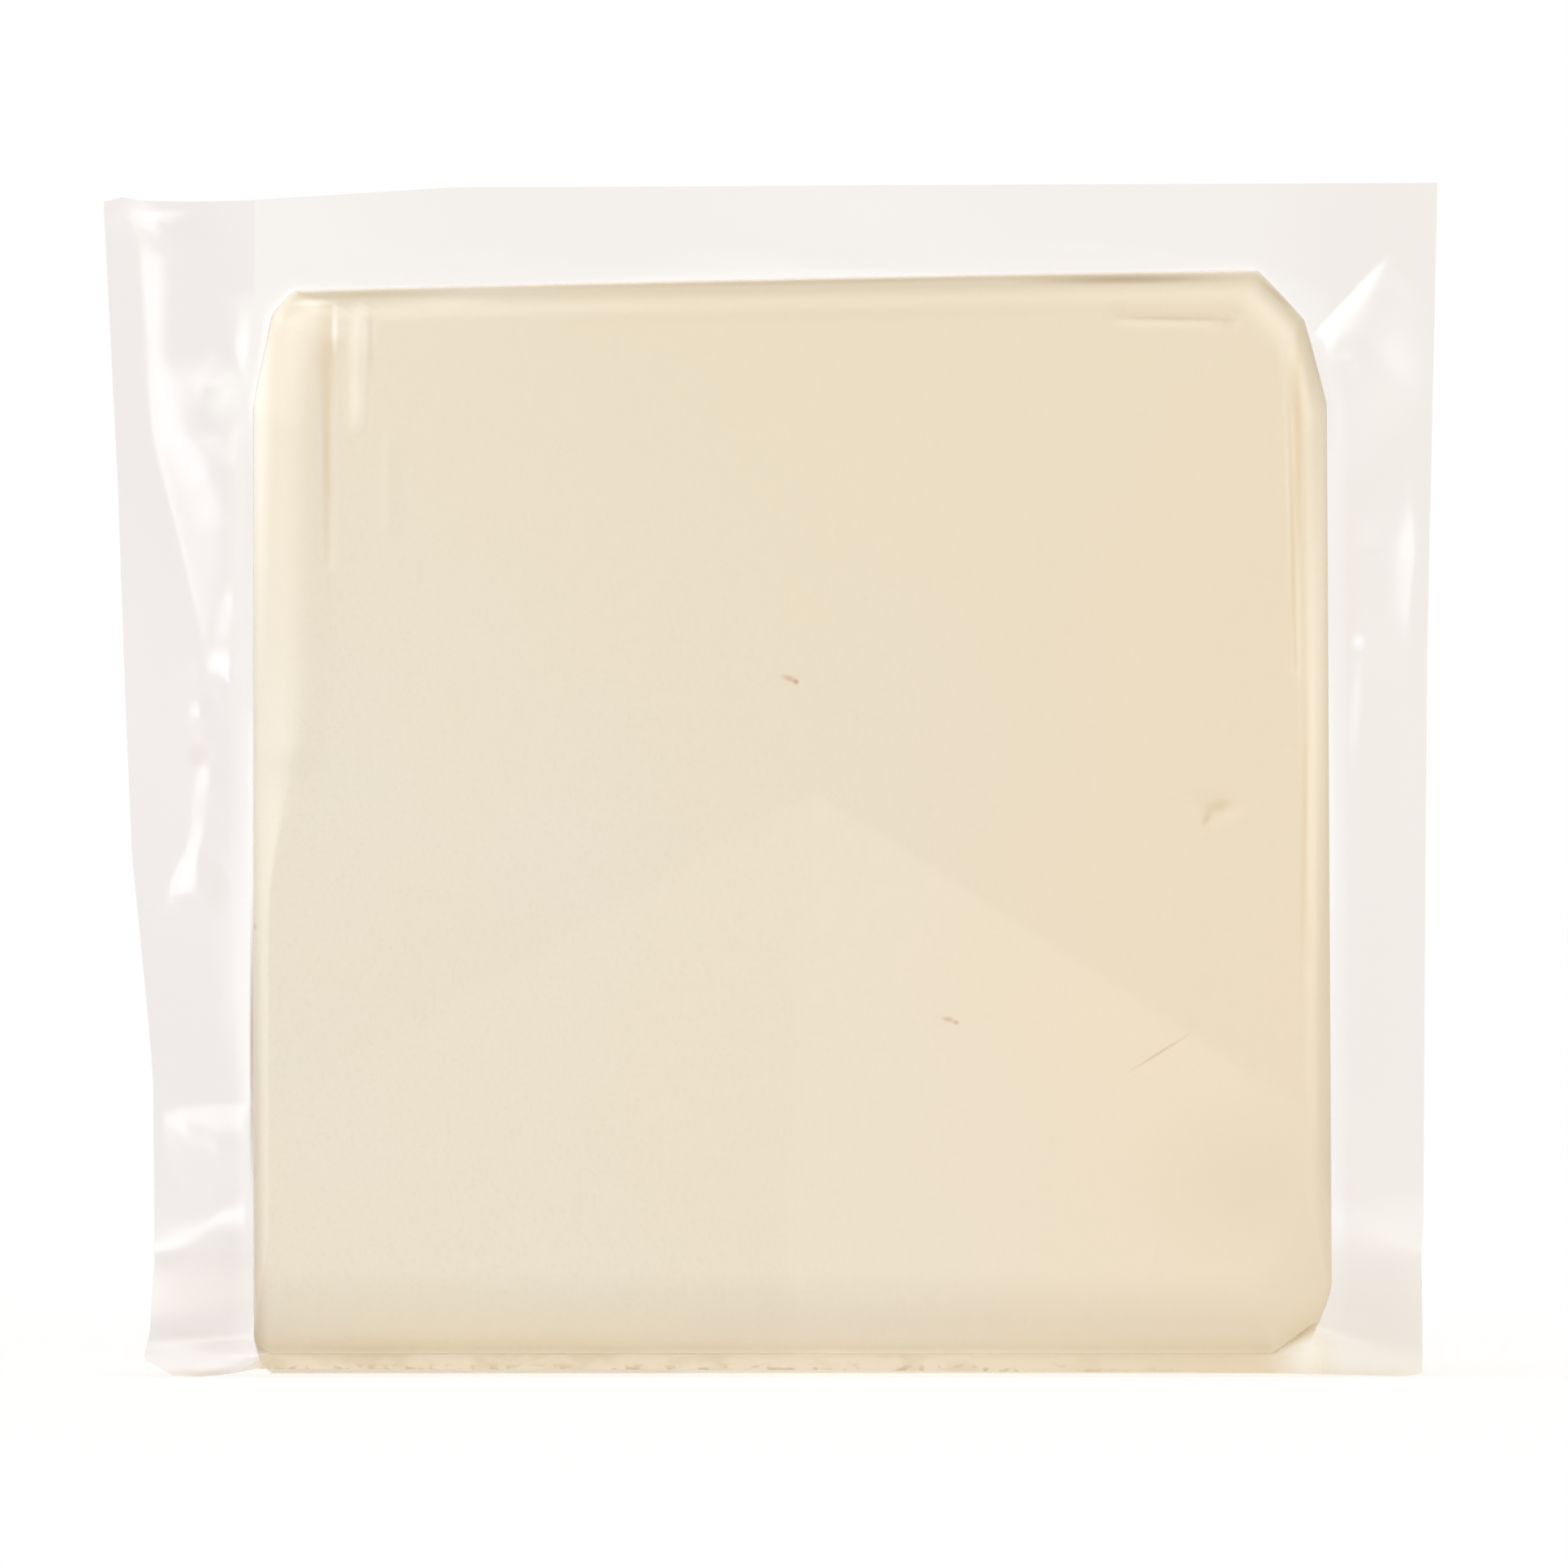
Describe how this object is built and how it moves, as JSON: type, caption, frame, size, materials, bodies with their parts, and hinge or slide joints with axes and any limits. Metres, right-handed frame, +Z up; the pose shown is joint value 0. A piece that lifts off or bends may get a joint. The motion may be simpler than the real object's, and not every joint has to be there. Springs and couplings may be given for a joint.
{
  "type": "vacuum-packed cheese block",
  "caption": "Pale, nearly square block of semi-hard cheese, vacuum packed in clear film with a free wavy margin; stands on its lower edge.",
  "frame": {"origin": "on the ground under the middle of the whole pack, margin included", "axes": "+X to the right across the pack as seen from its front, +Y to its back, +Z up; the front faces -Y"},
  "size_m": [0.1256, 0.0366, 0.1118],
  "materials": {
    "cheese": "cut face of pale semi-hard cheese, satin under the film that clings to it, slightly translucent",
    "film": "clear multilayer packaging film, glossy, crinkled, about 0.1 mm a web"
  },
  "bodies": {
    "root": {"cheese_block": "cheese", "film_margin": "film"}
  },
  "joints": []
}
